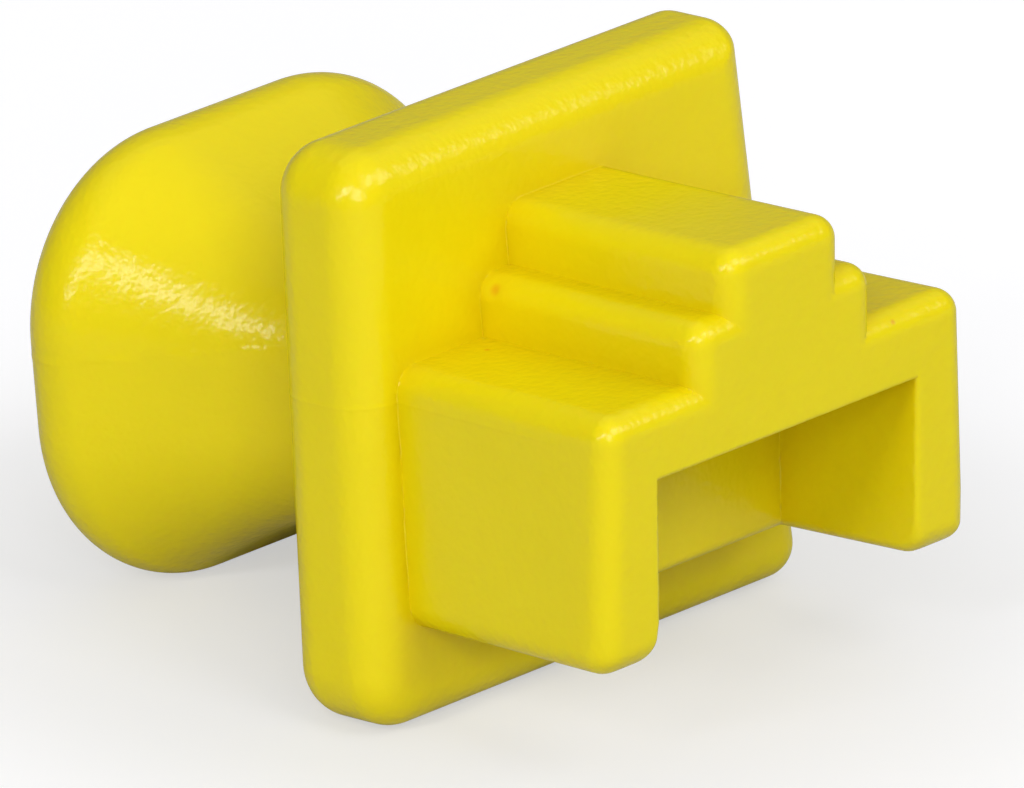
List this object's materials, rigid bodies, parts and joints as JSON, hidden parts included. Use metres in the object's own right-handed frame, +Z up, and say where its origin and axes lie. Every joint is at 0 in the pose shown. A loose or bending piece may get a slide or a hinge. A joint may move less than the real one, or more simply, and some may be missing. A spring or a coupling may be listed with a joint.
{
  "type": "modular jack dust plug",
  "caption": "Soft plastic dust plug for a network wall jack: stepped nose with an open channel between legs, square stop flange and flared pull knob.",
  "frame": {"origin": "bottom centre of the part's box, level with the flange's underside", "axes": "-Y along the nose, into the jack; +Y towards the pull knob; +Z up, from the open side of the channel to the crest of the nose; X = 0 is the mirror plane"},
  "size_m": [0.014, 0.0192, 0.0136],
  "materials": {
    "yellow_plastic": "satin"
  },
  "bodies": {
    "root": {"dust_plug": "yellow_plastic"}
  },
  "joints": []
}
